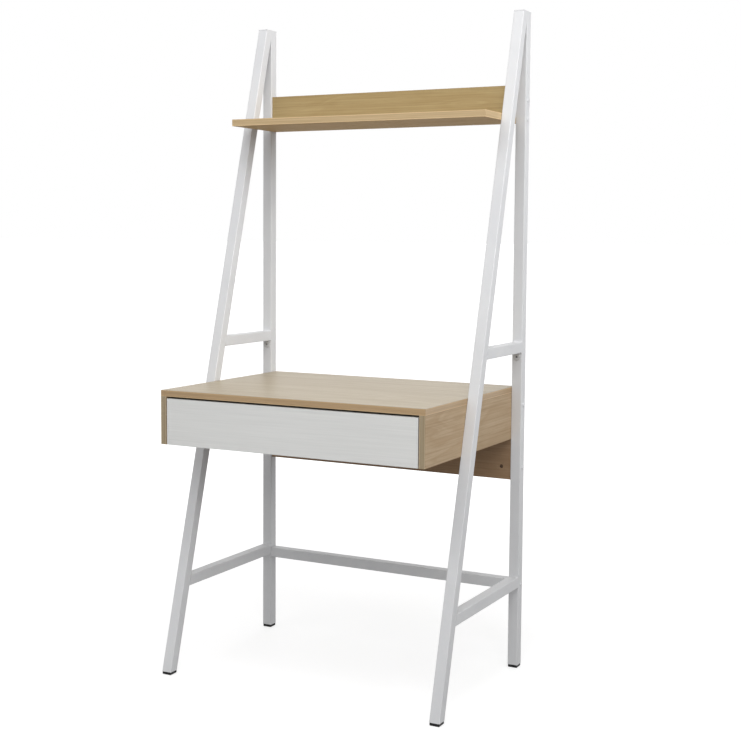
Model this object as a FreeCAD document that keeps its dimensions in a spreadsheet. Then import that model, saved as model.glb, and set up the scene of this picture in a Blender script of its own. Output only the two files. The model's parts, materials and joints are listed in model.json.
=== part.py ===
import FreeCAD, Part

import math
import os
from types import SimpleNamespace

import Sketcher

# Ladder desk: two leaning steel side frames carry a desk box with one drawer and a
# high shelf.  Millimetres.  +X is to the right of a person sitting at the desk, +Y is
# towards the wall, +Z is up, and the origin is on the floor under the middle.

# ---------------------------------------------------------------------------------
# Driving dimensions: name, value, meaning
# ---------------------------------------------------------------------------------
SIZES = [
    # Desk as a whole
    ("inner_width", 750, "clear width between the side frames, width of desk box and shelf"),
    ("desk_depth", 560, "front edge of the desk top to the wall side"),
    ("desk_height", 760, "floor to the writing surface"),
    ("frame_height", 1740, "floor to the top of the side frames"),
    ("frame_spread", 527, "front of the front foot to the back of the rear leg"),
    # Steel tube of the side frames
    ("tube", 28, "side of the square tube"),
    ("tube_wall", 1.2, "wall of the square tube"),
    ("tube_corner", 2, "outside corner radius of the tube"),
    ("leg_overlap", 25, "height over which the front leg bears on the rear leg"),
    ("top_plate", 3, "plate that closes both leg tops"),
    ("upper_strut_top", 880, "floor to the top of the upper strut"),
    ("lower_strut_top", 249, "floor to the top of the lower strut"),
    ("rail_top", 241, "floor to the top of the rear cross rail"),
    ("rail_end_plate", 4, "threaded plate welded into each end of the cross rail"),
    ("rail_plate_inset", 0.5, "end plate set back from the end of the cross rail"),
    # Plastic feet
    ("foot_pad", 8, "height of the foot under the tube"),
    ("foot_inset", 1.2, "foot pad set in from the tube's outside"),
    ("foot_chamfer", 1.5, "bevel round the foot's lower edge"),
    ("plug_length", 22, "length of the foot's plug inside the tube"),
    ("plug_wall", 2.5, "wall of the hollow plug"),
    ("plug_fit", 0.1, "play between plug and tube"),
    # Desk box
    ("board", 16, "thickness of the laminated boards"),
    ("box_height", 140, "desk box from its underside to the writing surface"),
    ("back_drop", 110, "how far the back panel hangs below the desk box"),
    # Shelf
    ("shelf_drop", 286, "top of the side frames down to the underside of the shelf"),
    ("shelf_board", 18, "thickness of the shelf"),
    ("shelf_depth", 230, "front edge of the shelf to the wall side"),
    ("lip_height", 80, "height of the lip along the back of the shelf"),
    # Drawer
    ("front_gap_top", 5, "gap over the drawer front"),
    ("front_gap_side", 2.5, "gap at each end of the drawer front"),
    ("drawer_board", 12, "thickness of the drawer sides and back"),
    ("drawer_side_height", 90, "height of the drawer sides"),
    ("drawer_side_lift", 10, "drawer sides above the lower edge of the front"),
    ("bottom_board", 3, "thickness of the drawer bottom"),
    ("bottom_lift", 8, "drawer bottom above the lower edge of the sides"),
    ("groove_depth", 6, "groove that takes the drawer bottom"),
    ("groove_fit", 0.1, "play all round the drawer bottom in its groove"),
    # Ball-bearing slides
    ("slide_length", 450, "length of each slide member"),
    ("slide_gap", 12.7, "width of a slide between box side and drawer side"),
    ("slide_height", 45.4, "height of the outer slide member"),
    ("slide_sheet", 1.2, "sheet steel of the slide members"),
    ("slide_setback", 1, "slide set back from the rear face of the drawer front"),
    ("outer_depth", 10.4, "depth of the outer member's flanges"),
    ("outer_lip", 2.6, "lip that turns in at the outer member's flanges"),
    ("middle_start", 2.6, "box side to the middle member's web"),
    ("middle_depth", 6, "depth of the middle member's flanges"),
    ("inner_depth", 7.7, "depth of the inner member's flanges"),
    ("ball", 4, "diameter of a bearing ball"),
    ("race_depth", 0.3, "how deep a ball sits in its race"),
    ("ball_fit", 0.08, "play between ball and race"),
    ("outer_ball_line", 5.9, "box side to the outer row of balls"),
    ("inner_ball_line", 6.4, "box side to the inner row of balls"),
    ("cage_length", 200, "length of a ball cage"),
    ("cage_sheet", 0.6, "sheet steel of a ball cage"),
    ("outer_cage_start", 1.6, "box side to the outer cage's web"),
    ("inner_cage_start", 4.1, "box side to the inner cage's web"),
    ("cage_flange_end", 8.2, "box side to the cages' flange tips"),
    ("cage_ball_hole", 4.4, "hole in the cage round each ball"),
    ("ball_pitch", 85, "distance between balls along a cage"),
    ("slide_screw_inset", 37, "end of a slide to its first screw"),
    # Connector bolts and barrel nuts
    ("bolt", 6, "diameter of the connector bolts"),
    ("bolt_play", 0.5, "bolt hole wider than the bolt"),
    ("thread_play", 0.1, "threaded hole wider than the bolt"),
    ("bolt_head", 11, "diameter of the button head"),
    ("bolt_head_height", 3.3, "height of the button head"),
    ("socket", 4, "hex socket across its flats"),
    ("socket_depth", 2, "depth of the hex socket"),
    ("panel_bolt_length", 60, "bolt through the rear leg into a board"),
    ("rail_bolt_length", 35, "bolt through the rear leg into the cross rail"),
    ("leg_bolt_length", 28, "bolt through the box side into the front leg"),
    ("barrel_nut", 10, "diameter of a barrel nut"),
    ("barrel_nut_length", 13, "length of a barrel nut"),
    ("barrel_nut_setback", 28, "end of the board to the barrel nut's axis"),
    ("back_bolt_low", 34, "lower back panel bolt above the panel's lower edge"),
    ("back_bolt_high", 32, "upper back panel bolt below the panel's upper edge"),
    ("rivet_nut", 9, "diameter of the rivet nut in the front leg"),
    ("rivet_nut_length", 12, "length of the rivet nut"),
    ("rivet_nut_flange", 11, "diameter of the rivet nut's flange"),
    ("rivet_nut_flange_height", 0.8, "thickness of the rivet nut's flange"),
    ("leg_bolt_low", 18, "lower leg bolt above the underside of the box side"),
    ("leg_bolt_high", 22, "upper leg bolt below the top of the box side"),
    # Wall fixing bush in each rear leg
    ("wall_fixing_height", 841, "floor to the wall fixing"),
    ("wall_screw_hole", 5.5, "hole for the wall screw"),
    ("bush", 9, "diameter of the bush inside the leg"),
    ("bush_flange", 20, "diameter of the bush's round head"),
    ("bush_flange_height", 3, "thickness of the bush's round head"),
    # Cam fittings and dowels
    ("cam", 15, "diameter of a cam lock"),
    ("cam_reach", 24, "board edge to the cam's axis"),
    ("box_cam_depth", 12.4, "height of a cam in the box sides"),
    ("drawer_cam_depth", 9.4, "height of a cam in the drawer sides"),
    ("cam_bolt_thread", 11, "cam bolt inside the board it screws into"),
    ("cam_bolt_hole", 8, "bore for the cam bolt in a board's edge"),
    ("cam_bolt_ball", 7, "diameter of the cam bolt's head"),
    ("dowel", 8, "diameter of a dowel"),
    ("dowel_length", 30, "length of a dowel"),
    ("dowel_short_end", 11, "dowel inside the board whose face it enters"),
    ("top_fitting_setback", 70, "front edge of the desk top to its first cam, and rear to last"),
    ("cam_to_dowel", 40, "cam to the dowel beside it"),
    ("hole_fit", 0.1, "fitted hole wider than what it holds"),
    ("hole_relief", 0.5, "blind hole deeper than what it holds"),
    # Screws
    ("screw", 3.5, "diameter of the wood screws"),
    ("screw_head", 6.8, "head of a wood screw"),
    ("slide_head_height", 1.2, "countersunk head of the box side slide screws"),
    ("pan_head_height", 1.8, "pan head of the drawer side slide screws"),
    ("flat_head_height", 1.7, "countersunk head of the other screws"),
    ("box_slide_screw", 13, "slide screw in the box side"),
    ("drawer_slide_screw", 10, "slide screw in the drawer side"),
    ("drawer_back_screw", 35, "screw through the drawer side into its back"),
    ("drawer_screw_low", 20, "lower back screw above the drawer side's lower edge"),
    ("drawer_screw_high", 15, "upper back screw below the drawer side's upper edge"),
    ("lip_screw", 45, "screw through the shelf into its lip"),
    ("nail", 1.8, "nail that holds the drawer bottom to the drawer back"),
    ("nail_head", 4, "head of the nail"),
    ("nail_head_height", 0.8, "thickness of the nail's head"),
    ("nail_length", 18, "length of the nail"),
]

LEFT = -1
RIGHT = 1
SIDES = ((LEFT, "left"), (RIGHT, "right"))

DOC = FreeCAD.newDocument("ladder_desk")
Vector = FreeCAD.Vector


# ---------------------------------------------------------------------------------
# Sizes that carry their spreadsheet formula
# ---------------------------------------------------------------------------------
class Size:
    """A number together with the spreadsheet formula that gives it."""

    def __init__(self, value, formula):
        self.value = value
        self.formula = formula

    def __add__(self, other):
        return joined(self, "+", other)

    def __radd__(self, other):
        return joined(other, "+", self)

    def __sub__(self, other):
        return joined(self, "-", other)

    def __rsub__(self, other):
        return joined(other, "-", self)

    def __mul__(self, other):
        return joined(self, "*", other)

    def __rmul__(self, other):
        return joined(other, "*", self)

    def __truediv__(self, other):
        return joined(self, "/", other)

    def __rtruediv__(self, other):
        return joined(other, "/", self)

    def __neg__(self):
        return joined(-1, "*", self)


def sized(number):
    """A plain number as a Size; a Size stays as it is."""
    if isinstance(number, Size):
        return number
    return Size(float(number), "(%.10g)" % number)


ARITHMETIC = {
    "+": lambda a, b: a + b,
    "-": lambda a, b: a - b,
    "*": lambda a, b: a * b,
    "/": lambda a, b: a / b,
}


def joined(first, sign, second):
    first = sized(first)
    second = sized(second)
    value = ARITHMETIC[sign](first.value, second.value)
    return Size(value, "(%s %s %s)" % (first.formula, sign, second.formula))


def root(number):
    return Size(math.sqrt(number.value), "sqrt(%s)" % number.formula)


def make_sheet():
    """The spreadsheet of driving dimensions, and its values by name."""
    sheet = DOC.addObject("Spreadsheet::Sheet", "Sizes")
    for row, (name, value, meaning) in enumerate(SIZES, start=1):
        sheet.set("A%d" % row, name)
        sheet.set("B%d" % row, "%g" % value)
        sheet.set("C%d" % row, meaning)
        sheet.setAlias("B%d" % row, name)
    DOC.recompute()
    values = {}
    for name, _, _ in SIZES:
        values[name] = Size(float(sheet.get(name)), "Sizes." + name)
    return SimpleNamespace(**values)


S = make_sheet()


# ---------------------------------------------------------------------------------
# Modelling helpers
# ---------------------------------------------------------------------------------
PLANES = {"X": "YZ_Plane", "Y": "XZ_Plane", "Z": "XY_Plane"}
# The XZ plane's normal points along -Y, the other two along their own axis.
NORMAL = {"X": 1, "Y": -1, "Z": 1}


def bind(thing, prop, size):
    size = sized(size)
    thing.setExpression(prop, size.formula)


def new_body(label):
    body = DOC.addObject("PartDesign::Body", label)
    body.Label = label
    return body


def sketch_across(body, axis, level, name):
    """A sketch on the plane across an axis, at a level along that axis."""
    sketch = body.newObject("Sketcher::SketchObject", name)
    for plane in body.Origin.OriginFeatures:
        if plane.Role == PLANES[axis]:
            sketch.AttachmentSupport = [(plane, "")]
    sketch.MapMode = "FlatFace"
    bind(sketch, "AttachmentOffset.Base.z", NORMAL[axis] * sized(level))
    return sketch


def fix_point(sketch, geometry, point, place, name):
    """Tie one point of a sketch to two sizes."""
    for kind, letter, size in zip(("DistanceX", "DistanceY"), "uv", place):
        size = sized(size)
        rule = Sketcher.Constraint(kind, -1, 1, geometry, point, size.value)
        index = sketch.addConstraint(rule)
        sketch.renameConstraint(index, letter + name)
        bind(sketch, "Constraints." + letter + name, size)


def draw_outline(sketch, corners):
    """A closed outline of straight lines through bound corners."""
    first = sketch.GeometryCount
    count = len(corners)
    flat = [Vector(sized(u).value, sized(v).value, 0) for u, v in corners]
    for i in range(count):
        line = Part.LineSegment(flat[i], flat[(i + 1) % count])
        sketch.addGeometry(line, False)
    for i in range(count):
        rule = Sketcher.Constraint("Coincident", first + i, 2, first + (i + 1) % count, 1)
        sketch.addConstraint(rule)
    for i, corner in enumerate(corners):
        fix_point(sketch, first + i, 1, corner, "%d" % (first + i))


def draw_circles(sketch, centres, diameter):
    """Circles of one bound diameter at bound centres."""
    diameter = sized(diameter)
    for u, v in centres:
        centre = Vector(sized(u).value, sized(v).value, 0)
        ring = Part.Circle(centre, Vector(0, 0, 1), diameter.value / 2)
        geometry = sketch.addGeometry(ring, False)
        fix_point(sketch, geometry, 3, (u, v), "%d" % geometry)
        rule = Sketcher.Constraint("Diameter", geometry, diameter.value)
        index = sketch.addConstraint(rule)
        sketch.renameConstraint(index, "d%d" % geometry)
        bind(sketch, "Constraints.d%d" % geometry, diameter)


def add_feature(body, kind, sketch, length, both_ways, backwards):
    feature = body.newObject("PartDesign::" + kind, sketch.Name + "_" + kind.lower())
    feature.Profile = sketch
    bind(feature, "Length", length)
    feature.SideType = "Symmetric" if both_ways else "One side"
    feature.Reversed = backwards
    sketch.Visibility = False
    return feature


def add_pad(body, axis, level, corners, length, name, both_ways=False):
    """A prism on an outline, growing along +axis from its level."""
    sketch = sketch_across(body, axis, level, name)
    draw_outline(sketch, corners)
    return add_feature(body, "Pad", sketch, length, both_ways, NORMAL[axis] < 0)


def cut_outline(body, axis, level, corners, length, name, towards=1, both_ways=False):
    """A pocket of an outline, cut from its level towards + or - axis."""
    sketch = sketch_across(body, axis, level, name)
    draw_outline(sketch, corners)
    backwards = towards * NORMAL[axis] > 0
    return add_feature(body, "Pocket", sketch, length, both_ways, backwards)


def cut_holes(body, axis, level, centres, diameter, length, name, towards=1):
    """Round holes cut from their level towards + or - axis."""
    sketch = sketch_across(body, axis, level, name)
    draw_circles(sketch, centres, diameter)
    backwards = towards * NORMAL[axis] > 0
    return add_feature(body, "Pocket", sketch, length, False, backwards)


def rectangle(low_u, high_u, low_v, high_v):
    return [(low_u, low_v), (high_u, low_v), (high_u, high_v), (low_u, high_v)]


def faces_across(side, inner, outer):
    """Lower and higher X of a board whose inner face is towards the middle."""
    if side > 0:
        return inner, outer
    return -outer, -inner


def round_long_edges(body, radius, name):
    """Fillet the four long edges of a tube that was just padded."""
    DOC.recompute()
    pad = body.Tip
    edges = pad.Shape.Edges
    order = sorted(range(len(edges)), key=lambda i: -edges[i].Length)
    fillet = body.newObject("PartDesign::Fillet", name)
    fillet.Base = (pad, ["Edge%d" % (i + 1) for i in order[:4]])
    bind(fillet, "Radius", radius)
    return fillet


def spin(body, corners, name):
    """A solid of revolution about the local Z axis from a half section."""
    sketch = sketch_across(body, "Y", 0, name)
    draw_outline(sketch, corners)
    feature = body.newObject("PartDesign::Revolution", name + "_turned")
    feature.Profile = sketch
    feature.ReferenceAxis = (sketch, ["V_Axis"])
    feature.Angle = 360
    sketch.Visibility = False
    return feature


def pointing(position, outward, sideways=None):
    """A placement that turns local +Z outward, and local +X sideways if given."""
    place = Vector(*[sized(p).value for p in position])
    outward = Vector(*outward)
    if sideways is None:
        turn = FreeCAD.Rotation(Vector(0, 0, 1), outward)
    else:
        sideways = Vector(*sideways)
        turn = FreeCAD.Rotation(sideways, outward.cross(sideways), outward, "ZXY")
    return FreeCAD.Placement(place, turn)


NODES = []


def keep(node):
    """Count a finished object among the nodes of the part."""
    NODES.append(node)
    return node


def add_group(label, master, placements):
    """Identical pieces in one node, each a separate solid."""
    DOC.recompute()
    copies = []
    for placement in placements:
        copy = master.Shape.copy()
        copy.Placement = placement
        copies.append(copy)
    group = DOC.addObject("Part::Feature", label)
    group.Label = label
    group.Shape = Part.makeCompound(copies)
    return keep(group)


# ---------------------------------------------------------------------------------
# Places worked out from the driving dimensions
# ---------------------------------------------------------------------------------
half_width = S.inner_width / 2
wall_line = S.desk_depth / 2
desk_front = -wall_line
leg_middle = half_width + S.tube / 2
rear_leg_front = wall_line - S.tube
rear_leg_middle = wall_line - S.tube / 2
leg_top = S.frame_height - S.top_plate
foot_front = wall_line - S.frame_spread

# Lean of the front leg: run for each unit of rise, so that its rear face meets the
# rear leg at the bottom of the overlap.
lean_run = S.frame_spread - S.tube
lean_rise = S.frame_height - S.leg_overlap
lean = (lean_run * lean_rise - S.tube * root(lean_run * lean_run + lean_rise * lean_rise
                                              - S.tube * S.tube)) \
    / (lean_rise * lean_rise - S.tube * S.tube)
slant = root(1 + lean * lean)
leg_section = S.tube * slant
wall_section = S.tube_wall * slant

box_bottom = S.desk_height - S.box_height
box_top = S.desk_height - S.board
side_inner = half_width - S.board
side_middle = half_width - S.board / 2
back_middle = rear_leg_middle
back_front = back_middle - S.board / 2
back_rear = back_middle + S.board / 2
back_bottom = box_bottom - S.back_drop
shelf_bottom = S.frame_height - S.shelf_drop
shelf_top = shelf_bottom + S.shelf_board
lip_top = shelf_top + S.lip_height

front_rear = desk_front + S.board
front_half = side_inner - S.front_gap_side
front_top = box_top - S.front_gap_top
drawer_outer = side_inner - S.slide_gap
drawer_inner = drawer_outer - S.drawer_board
drawer_side_middle = drawer_outer - S.drawer_board / 2
drawer_low = box_bottom + S.drawer_side_lift
drawer_high = drawer_low + S.drawer_side_height
drawer_rear = front_rear + S.slide_length
drawer_back_front = drawer_rear - S.drawer_board
drawer_back_middle = drawer_rear - S.drawer_board / 2
groove_low = drawer_low + S.bottom_lift
groove_high = groove_low + S.bottom_board + 2 * S.groove_fit
slide_level = (drawer_low + drawer_high) / 2
slide_front = front_rear + S.slide_setback
slide_rear = slide_front + S.slide_length

back_bolt_levels = (back_bottom + S.back_bolt_low, box_top - S.back_bolt_high)
shelf_bolt_level = shelf_bottom + S.shelf_board / 2
lip_bolt_level = shelf_top + S.lip_height / 2
rail_level = S.rail_top - S.tube / 2
leg_bolt_levels = (box_bottom + S.leg_bolt_low, box_top - S.leg_bolt_high)
clear_hole = S.bolt + S.bolt_play
thread_hole = S.bolt + S.thread_play


def front_leg_front(level):
    """Y of the front leg's front face at a height."""
    return foot_front + lean * level


def front_leg_rear(level):
    return foot_front + leg_section + lean * level


def front_leg_middle(level):
    return foot_front + leg_section / 2 + lean * level


# ---------------------------------------------------------------------------------
# Side frames
# ---------------------------------------------------------------------------------
def front_leg(side, name):
    """Slanted tube, cut level at the floor and upright where it meets the rear leg."""
    body = new_body(name + "_front_leg")
    contact = S.frame_height - S.leg_overlap
    outline = [
        (front_leg_front(S.foot_pad), S.foot_pad),
        (front_leg_rear(S.foot_pad), S.foot_pad),
        (rear_leg_front, contact),
        (rear_leg_front, leg_top),
        (front_leg_front(leg_top), leg_top),
    ]
    add_pad(body, "X", 0, outline, S.tube, name + "_front_leg_side", both_ways=True)
    round_long_edges(body, S.tube_corner, name + "_front_leg_corners")
    beyond = leg_top + S.tube
    below = S.foot_pad - S.tube
    bore = [
        (front_leg_front(below) + wall_section, below),
        (front_leg_rear(below) - wall_section, below),
        (front_leg_rear(beyond) - wall_section, beyond),
        (front_leg_front(beyond) + wall_section, beyond),
    ]
    cut_outline(body, "X", 0, bore, S.tube - 2 * S.tube_wall, name + "_front_leg_bore",
                both_ways=True)
    holes = [(front_leg_middle(level), level) for level in leg_bolt_levels]
    inner_face = -side * S.tube / 2
    cut_holes(body, "X", inner_face, holes, S.rivet_nut + S.hole_fit, S.tube / 2,
              name + "_front_leg_rivet_holes", towards=side)
    bind(body, "Placement.Base.x", side * leg_middle)
    return keep(body)


def rear_leg(side, name):
    """Upright tube with cross holes for the boards, the rail and the wall screw."""
    body = new_body(name + "_rear_leg")
    half = S.tube / 2
    inside = half - S.tube_wall
    height = leg_top - S.foot_pad
    section = rectangle(-half, half, rear_leg_front, wall_line)
    add_pad(body, "Z", S.foot_pad, section, height, name + "_rear_leg_section")
    round_long_edges(body, S.tube_corner, name + "_rear_leg_corners")
    bore = rectangle(-inside, inside, rear_leg_front + S.tube_wall, wall_line - S.tube_wall)
    cut_outline(body, "Z", S.foot_pad, bore, height, name + "_rear_leg_bore")
    holes = [(back_middle, level) for level in back_bolt_levels]
    holes += [(back_middle, shelf_bolt_level), (back_middle, lip_bolt_level)]
    holes += [(rear_leg_middle, rail_level)]
    cut_holes(body, "X", -half, holes, clear_hole, S.tube, name + "_rear_leg_bolt_holes")
    bush_hole = [(0, S.wall_fixing_height)]
    cut_holes(body, "Y", rear_leg_front, bush_hole, S.bush + S.hole_fit, S.tube,
              name + "_rear_leg_bush_hole")
    bind(body, "Placement.Base.x", side * leg_middle)
    return keep(body)


def strut(side, name, level_name, top):
    """Level tube between the legs, its front end cut to the front leg's slant."""
    label = name + "_" + level_name + "_strut"
    body = new_body(label)
    bottom = top - S.tube
    outline = [
        (front_leg_rear(bottom), bottom),
        (rear_leg_front, bottom),
        (rear_leg_front, top),
        (front_leg_rear(top), top),
    ]
    add_pad(body, "X", 0, outline, S.tube, label + "_side", both_ways=True)
    round_long_edges(body, S.tube_corner, label + "_corners")
    low = bottom + S.tube_wall
    high = top - S.tube_wall
    bore = rectangle(front_leg_front(bottom), rear_leg_front + S.tube, low, high)
    cut_outline(body, "X", 0, bore, S.tube - 2 * S.tube_wall, label + "_bore",
                both_ways=True)
    bind(body, "Placement.Base.x", side * leg_middle)
    return keep(body)


def top_plate(side, name):
    """Flat plate that closes the two leg tops."""
    body = new_body(name + "_top_plate")
    half = S.tube / 2
    outline = rectangle(-half, half, front_leg_front(leg_top), wall_line)
    add_pad(body, "Z", leg_top, outline, S.top_plate, name + "_top_plate_outline")
    bind(body, "Placement.Base.x", side * leg_middle)
    return keep(body)


def cross_rail():
    """Level tube between the rear legs near the floor."""
    body = new_body("rear_cross_rail")
    bottom = S.rail_top - S.tube
    section = rectangle(rear_leg_front, wall_line, bottom, S.rail_top)
    add_pad(body, "X", 0, section, S.inner_width, "rail_section", both_ways=True)
    round_long_edges(body, S.tube_corner, "rail_corners")
    bore = rectangle(rear_leg_front + S.tube_wall, wall_line - S.tube_wall,
                     bottom + S.tube_wall, S.rail_top - S.tube_wall)
    cut_outline(body, "X", 0, bore, S.inner_width, "rail_bore", both_ways=True)
    return keep(body)


def rail_end_plates():
    """Threaded plates inside the two ends of the cross rail."""
    body = new_body("rail_end_plate_master")
    inside = S.tube / 2 - S.tube_wall
    add_pad(body, "Z", -S.rail_end_plate, rectangle(-inside, inside, -inside, inside),
            S.rail_end_plate, "rail_end_plate_outline")
    cut_holes(body, "Z", 0, [(0, 0)], thread_hole, S.rail_end_plate, "rail_end_plate_thread",
              towards=-1)
    places = []
    for side, _ in SIDES:
        across = side * (half_width - S.rail_plate_inset)
        places.append(pointing((across, rear_leg_middle, rail_level), (side, 0, 0)))
    return add_group("rail_end_plates", body, places)


def foot(side, name, front):
    """Plastic foot: a pad under the tube and a hollow plug inside it."""
    label = name + ("_front_foot" if front else "_rear_foot")
    body = new_body(label)
    if front:
        near = front_leg_front
        deep = leg_section
        wall = wall_section
        tilt = lean
    else:
        near = lambda level: rear_leg_front
        deep = S.tube
        wall = S.tube_wall
        tilt = 0
    pad_top = S.foot_pad
    plug_top = pad_top + S.plug_length
    width = S.tube / 2 - S.foot_inset
    outline = rectangle(-width, width, near(pad_top) + S.foot_inset,
                        near(pad_top) + deep - S.foot_inset)
    pad = add_pad(body, "Z", 0, outline, pad_top, label + "_pad")
    DOC.recompute()
    lower = []
    for number, edge in enumerate(pad.Shape.Edges, start=1):
        if edge.BoundBox.ZMax < S.foot_chamfer.value / 2:
            lower.append("Edge%d" % number)
    bevel = body.newObject("PartDesign::Chamfer", label + "_bevel")
    bevel.Base = (pad, lower)
    bind(bevel, "Size", S.foot_chamfer)
    reach = wall + S.plug_fit
    rise = tilt * S.plug_length
    plug = [
        (near(pad_top) + reach, pad_top),
        (near(pad_top) + deep - reach, pad_top),
        (near(pad_top) + deep - reach + rise, plug_top),
        (near(pad_top) + reach + rise, plug_top),
    ]
    plug_width = S.tube - 2 * S.tube_wall - 2 * S.plug_fit
    add_pad(body, "X", 0, plug, plug_width, label + "_plug", both_ways=True)
    reach = reach + S.plug_wall
    floor = pad_top + S.plug_wall
    start = tilt * S.plug_wall
    hollow = [
        (near(pad_top) + reach + start, floor),
        (near(pad_top) + deep - reach + start, floor),
        (near(pad_top) + deep - reach + rise, plug_top),
        (near(pad_top) + reach + rise, plug_top),
    ]
    cut_outline(body, "X", 0, hollow, plug_width - 2 * S.plug_wall, label + "_hollow",
                both_ways=True)
    bind(body, "Placement.Base.x", side * leg_middle)
    return keep(body)


def wall_bushes():
    """Round-headed plastic bushes that line the wall screw holes in the rear legs."""
    body = new_body("wall_bush_master")
    bore = S.wall_screw_hole / 2
    barrel = S.bush / 2
    head = S.bush_flange / 2
    section = [
        (bore, -S.tube),
        (barrel, -S.tube),
        (barrel, 0),
        (head, 0),
        (head, S.bush_flange_height / 2),
        (head - S.bush_flange_height / 2, S.bush_flange_height),
        (bore, S.bush_flange_height),
    ]
    spin(body, section, "wall_bush_section")
    places = []
    for side, _ in SIDES:
        spot = (side * leg_middle, rear_leg_front, S.wall_fixing_height)
        places.append(pointing(spot, (0, -1, 0)))
    return add_group("wall_fixing_bushes", body, places)


# ---------------------------------------------------------------------------------
# Desk box and shelf
# ---------------------------------------------------------------------------------
top_cam_places = (desk_front + S.top_fitting_setback, back_front - S.top_fitting_setback)
top_dowel_places = (top_cam_places[0] + S.cam_to_dowel, top_cam_places[1] - S.cam_to_dowel)
back_cam_levels = (box_bottom + S.cam, box_top - S.cam)
back_dowel_level = (box_bottom + box_top) / 2
barrel_nut_line = half_width - S.barrel_nut_setback
panel_bore = S.panel_bolt_length - S.tube + S.bolt
nut_bore = S.board / 2 + S.barrel_nut_length / 2


def board_body(label, x_low, x_high, y_low, y_high, z_low, z_high):
    body = new_body(label)
    add_pad(body, "Z", z_low, rectangle(x_low, x_high, y_low, y_high), z_high - z_low,
            label + "_outline")
    return body


def cut_cam_bolt_holes(body, axis, level, centres, name, towards):
    """Holes in a board's face for the thread of cam bolts."""
    cut_holes(body, axis, level, centres, S.bolt + S.hole_fit,
              S.cam_bolt_thread + S.hole_relief, name, towards)


def cut_dowel_holes(body, axis, level, centres, depth, name, towards):
    cut_holes(body, axis, level, centres, S.dowel + S.hole_fit, depth + S.hole_relief, name,
              towards)


def cut_bolt_ends(body, axis, levels, across, name):
    """Bores in both ends of a board for the bolts through the rear legs."""
    centres = [(across, level) for level in levels]
    for side, word in SIDES:
        cut_holes(body, axis, side * half_width, centres, clear_hole, panel_bore,
                  name + "_" + word + "_bolt_bores", towards=-side)


def desk_top():
    body = board_body("desk_top", -half_width, half_width, desk_front, wall_line, box_top,
                      S.desk_height)
    for side, word in SIDES:
        cams = [(side * side_middle, place) for place in top_cam_places]
        cut_cam_bolt_holes(body, "Z", box_top, cams, "desk_top_cam_holes_" + word, 1)
        dowels = [(side * side_middle, place) for place in top_dowel_places]
        cut_dowel_holes(body, "Z", box_top, dowels, S.dowel_short_end,
                        "desk_top_dowel_holes_" + word, 1)
    return keep(body)


def box_side(side, name):
    """Side of the desk box, with cams, dowels, slide screws and leg bolts."""
    label = name + "_box_side"
    low, high = faces_across(side, side_inner, half_width)
    body = board_body(label, low, high, desk_front, back_front, box_bottom, box_top)
    inner_face = side * side_inner
    middle = side * side_middle
    long_end = S.dowel_length - S.dowel_short_end
    bolts = [(middle, place) for place in top_cam_places]
    cut_holes(body, "Z", box_top, bolts, S.cam_bolt_hole, S.cam_reach,
              label + "_top_cam_bolts", towards=-1)
    dowels = [(middle, place) for place in top_dowel_places]
    cut_dowel_holes(body, "Z", box_top, dowels, long_end, label + "_top_dowels", -1)
    rear_bolts = [(middle, level) for level in back_cam_levels]
    cut_holes(body, "Y", back_front, rear_bolts, S.cam_bolt_hole, S.cam_reach,
              label + "_rear_cam_bolts", towards=-1)
    cut_dowel_holes(body, "Y", back_front, [(middle, back_dowel_level)], long_end,
                    label + "_rear_dowel", -1)
    cams = [(place, box_top - S.cam_reach) for place in top_cam_places]
    cams += [(back_front - S.cam_reach, level) for level in back_cam_levels]
    cut_holes(body, "X", inner_face, cams, S.cam + S.hole_fit,
              S.box_cam_depth + S.hole_fit, label + "_cams", towards=side)
    legs = [(front_leg_middle(level), level) for level in leg_bolt_levels]
    cut_holes(body, "X", inner_face, legs, clear_hole, S.board, label + "_leg_bolts",
              towards=side)
    cut_holes(body, "X", side * half_width, legs, S.rivet_nut_flange + S.bolt_play,
              S.rivet_nut_flange_height + S.hole_fit, label + "_rivet_flanges", towards=-side)
    screws = [(place, slide_level) for place in slide_screw_places()]
    cut_holes(body, "X", inner_face, screws, S.screw + S.hole_fit,
              S.box_slide_screw + S.hole_relief, label + "_slide_screws", towards=side)
    return keep(body)


def back_panel():
    """Full-width panel between the rear legs; it hangs below the desk box."""
    body = board_body("back_panel", -half_width, half_width, back_front, back_rear,
                      back_bottom, box_top)
    for side, word in SIDES:
        cams = [(side * side_middle, level) for level in back_cam_levels]
        cut_cam_bolt_holes(body, "Y", back_front, cams, "back_cam_holes_" + word, 1)
        cut_dowel_holes(body, "Y", back_front, [(side * side_middle, back_dowel_level)],
                        S.dowel_short_end, "back_dowel_hole_" + word, 1)
        nuts = [(side * barrel_nut_line, level) for level in back_bolt_levels]
        cut_holes(body, "Y", back_front, nuts, S.barrel_nut + S.hole_fit, nut_bore,
                  "back_nut_holes_" + word)
    cut_bolt_ends(body, "X", back_bolt_levels, back_middle, "back")
    return keep(body)


lip_screw_places = (-S.inner_width / 3, sized(0), S.inner_width / 3)


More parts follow.
